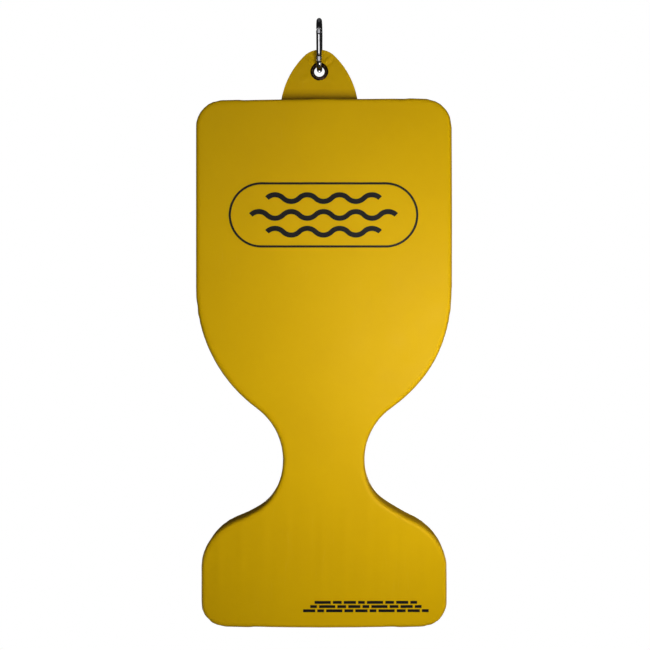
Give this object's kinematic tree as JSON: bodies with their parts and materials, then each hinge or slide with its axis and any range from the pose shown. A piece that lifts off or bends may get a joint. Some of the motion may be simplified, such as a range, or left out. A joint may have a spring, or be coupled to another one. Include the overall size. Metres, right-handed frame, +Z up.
{
  "type": "water saddle float",
  "caption": "Hourglass foam water float with a smooth vinyl coat, hung by a tab and grommet from a spring snap hook.",
  "frame": {"origin": "the point that a nail, hook or rail bears on: the inside of the snap hook's top bend, in the mid-plane of the hook, the tab and the board", "axes": "+Z up, +X to the right seen from the printed front, the printed front faces -Y"},
  "size_m": [0.382, 0.04, 0.9168],
  "materials": {
    "foam": "matte",
    "vinyl": "satin",
    "fabric": "matte",
    "grommet_metal": "satin",
    "plated_steel": "polished",
    "spring_steel": "satin",
    "ink": "matte"
  },
  "bodies": {
    "hook": {"hook_frame": "plated_steel"},
    "gate": {"hook_gate": "plated_steel", "gate_hinge_pin": "plated_steel", "gate_latch_pin": "plated_steel", "gate_spring": "spring_steel"},
    "plunger": {"gate_plunger": "spring_steel"},
    "tab": {"tab_skin": "vinyl", "tab_core": "fabric", "grommet_eyelet": "grommet_metal", "grommet_washer": "grommet_metal"},
    "float": {"foam_core_front": "foam", "foam_core_back": "foam", "vinyl_skin": "vinyl", "tab_root": "fabric", "printed_emblem": "ink", "printed_notice": "ink"}
  },
  "joints": [
    {"name": "float_swing", "type": "hinge", "parent": "hook", "child": "tab", "pos_m": [0, 0, -0.068], "axis": [0, 1, 0], "range_deg": [-60, 60]},
    {"name": "tab_bend", "type": "hinge", "parent": "tab", "child": "float", "pos_m": [0, 0, -0.1148], "axis": [1, 0, 0], "range_deg": [-85, 85]},
    {"name": "gate_hinge", "type": "hinge", "parent": "hook", "child": "gate", "pos_m": [0, -0.01057, -0.05435], "axis": [-1, 0, 0], "range_deg": [0, 21], "stiffness_Nm_per_rad": 0.5, "springref_deg": -22.92},
    {"name": "plunger_slide", "type": "slide", "parent": "gate", "child": "plunger", "axis": [0, -0.1304, 0.9915], "range_m": [0, 0.0006], "deforming": ["gate_spring"]}
  ],
  "couplings": [
    {"joint": "plunger_slide", "follows": "gate_hinge", "m_per_rad": 0.0014}
  ]
}
